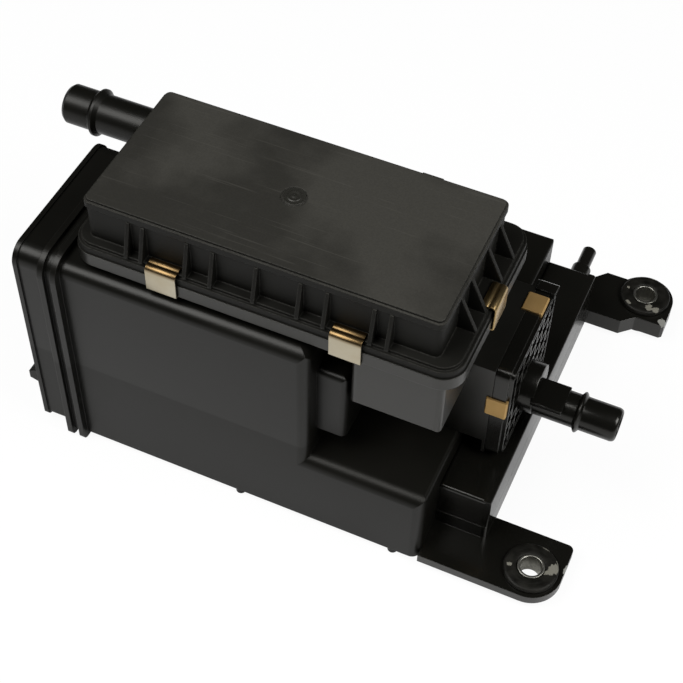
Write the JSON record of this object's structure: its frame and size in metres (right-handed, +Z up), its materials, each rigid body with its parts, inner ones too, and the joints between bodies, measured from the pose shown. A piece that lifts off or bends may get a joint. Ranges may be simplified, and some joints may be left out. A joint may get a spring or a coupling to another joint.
{
  "type": "charcoal canister",
  "caption": "Fuel vapour charcoal canister with a welded two-chamber case, a clipped air filter box on top, hose pipes and two rubber-bushed bolt ears.",
  "frame": {"origin": "midway between the two bolt holes, on the plane that the part stands on", "axes": "+Z up, +X from the welded end cap towards the bolt ears, -Y the side with two lid clips"},
  "size_m": [0.3089, 0.2165, 0.1649],
  "materials": {
    "case_plastic": "semi-gloss moulded black",
    "base_plastic": "semi-gloss moulded black",
    "tub_plastic": "satin moulded charcoal grey",
    "lid_plastic": "fine matte moulded charcoal grey",
    "cover_plastic": "satin moulded black",
    "bush_rubber": "dull black rubber with pale scuffs",
    "seal_rubber": "soft black rubber",
    "frame_rubber": "soft moulded foam rubber",
    "sleeve_steel": "turned zinc-plated steel",
    "clip_steel": "yellow passivated spring steel",
    "screw_steel": "plated steel",
    "spring_steel": "drawn steel wire",
    "screen_steel": "woven fine wire",
    "filter_paper": "creped filter paper",
    "fleece": "needled fleece",
    "plate_plastic": "moulded dark grey",
    "charcoal": "dull black grains"
  },
  "bodies": {
    "root": {"canister_case": "case_plastic", "end_cap": "case_plastic", "mount_base": "base_plastic", "manifold_block": "base_plastic", "front_bush": "bush_rubber", "rear_bush": "bush_rubber", "front_sleeve": "sleeve_steel", "rear_sleeve": "sleeve_steel", "filter_tub": "tub_plastic", "lid_seal": "seal_rubber", "filter_lid": "lid_plastic", "lid_clips": "clip_steel", "filter_frame": "frame_rubber", "filter_media": "filter_paper", "tub_screws": "screw_steel", "outlet_seal": "seal_rubber", "vent_cover": "cover_plastic", "cover_seal": "seal_rubber", "cover_clips": "clip_steel", "vent_screen": "screen_steel", "front_bed": "charcoal", "rear_bed": "charcoal", "front_screens": "fleece", "rear_screens": "fleece", "front_plate": "plate_plastic", "rear_plate": "plate_plastic", "front_springs": "spring_steel", "rear_springs": "spring_steel"}
  },
  "joints": []
}
